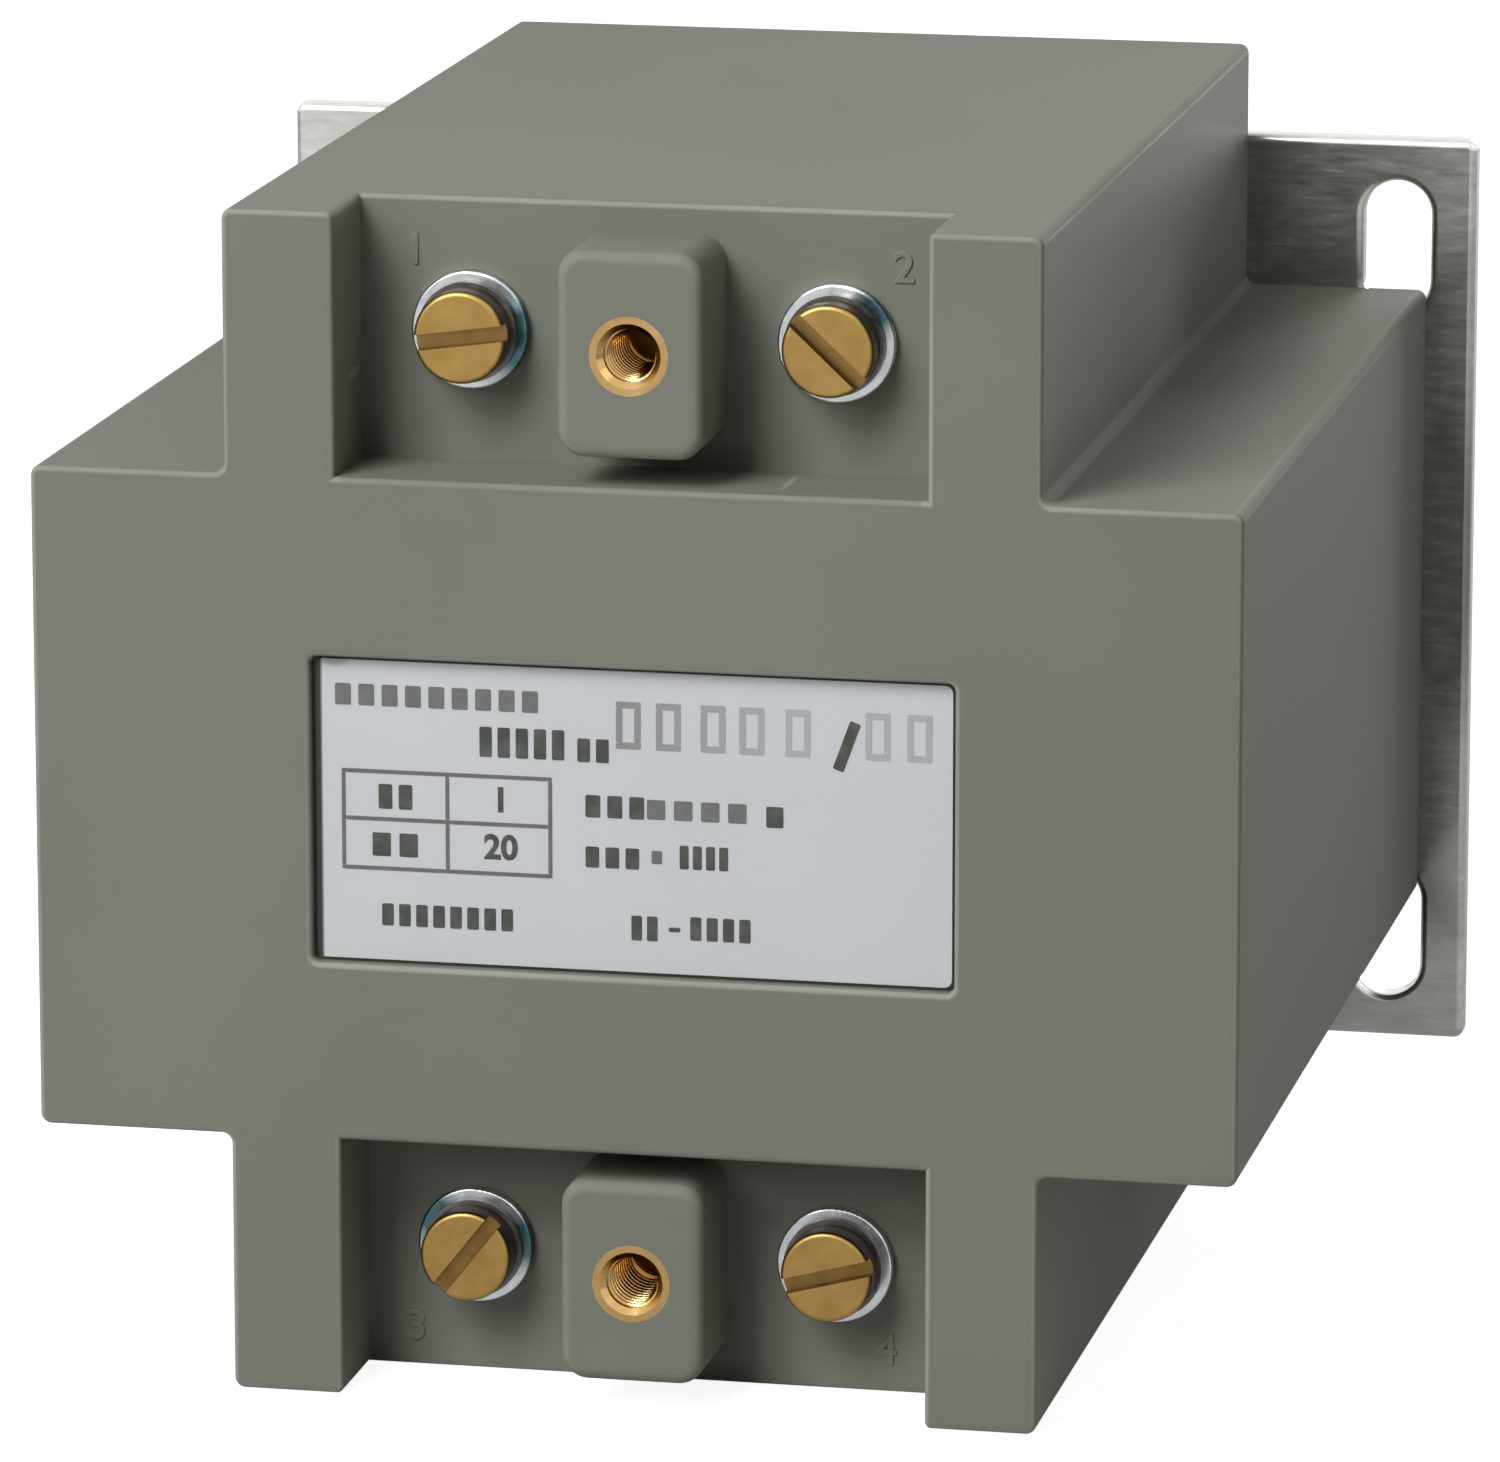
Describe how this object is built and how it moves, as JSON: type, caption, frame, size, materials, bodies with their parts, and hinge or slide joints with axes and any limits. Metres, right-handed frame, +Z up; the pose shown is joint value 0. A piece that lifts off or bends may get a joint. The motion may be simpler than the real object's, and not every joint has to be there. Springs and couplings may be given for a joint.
{
  "type": "encapsulated voltage transformer",
  "caption": "Plus-shaped resin-filled transformer block with recessed screw terminals, raised threaded blocks, a label pocket and a slotted flat mounting plate.",
  "frame": {"origin": "centre of the mounting plate's rear face, which lies on the panel", "axes": "+Y out of the plate's rear face into the panel, so the terminals and label face -Y; +Z up the tower towards the primary terminals; +X to the right seen from the front"},
  "size_m": [0.1, 0.098, 0.091],
  "materials": {
    "case_moulding": "satin moulded",
    "potting_resin": "cast resin",
    "zinc_plate": "zinc plated, rolled",
    "label_face": "satin, printed",
    "label_print": "printed",
    "core_steel": "annealed",
    "bobbin_plastic": "moulded",
    "winding_copper": "enamelled copper wire",
    "coil_insulation": "impregnated",
    "insert_brass": "turned",
    "screw_brass": "turned, dulled",
    "washer_zinc": "zinc plated",
    "spring_steel": "zinc plated",
    "plate_screw_zinc": "zinc plated",
    "lead_sleeve": "sleeved"
  },
  "bodies": {
    "root": {"moulded_case": "case_moulding", "potting_fill": "potting_resin", "mounting_plate": "zinc_plate", "rating_label": "label_face", "core_e_laminations": "core_steel", "core_i_laminations": "core_steel", "coil_bobbin": "bobbin_plastic", "primary_winding": "winding_copper", "interwinding_insulation": "coil_insulation", "secondary_winding": "winding_copper", "coil_outer_wrap": "coil_insulation", "cover_insert_upper": "insert_brass", "cover_insert_lower": "insert_brass", "primary_lead_left": "lead_sleeve", "primary_lead_right": "lead_sleeve", "secondary_lead_left": "lead_sleeve", "secondary_lead_right": "lead_sleeve", "terminal_insert_upper_left": "insert_brass", "terminal_insert_upper_right": "insert_brass", "terminal_insert_lower_left": "insert_brass", "terminal_insert_lower_right": "insert_brass", "flat_washer_upper_left": "washer_zinc", "flat_washer_upper_right": "washer_zinc", "flat_washer_lower_left": "washer_zinc", "flat_washer_lower_right": "washer_zinc", "spring_washer_upper_left": "spring_steel", "spring_washer_upper_right": "spring_steel", "spring_washer_lower_left": "spring_steel", "spring_washer_lower_right": "spring_steel", "terminal_screw_upper_left": "screw_brass", "terminal_screw_upper_right": "screw_brass", "terminal_screw_lower_left": "screw_brass", "terminal_screw_lower_right": "screw_brass", "plate_insert_upper_left": "insert_brass", "plate_insert_upper_right": "insert_brass", "plate_insert_lower_left": "insert_brass", "plate_insert_lower_right": "insert_brass", "plate_screw_upper_left": "plate_screw_zinc", "plate_screw_upper_right": "plate_screw_zinc", "plate_screw_lower_left": "plate_screw_zinc", "plate_screw_lower_right": "plate_screw_zinc"}
  },
  "joints": []
}
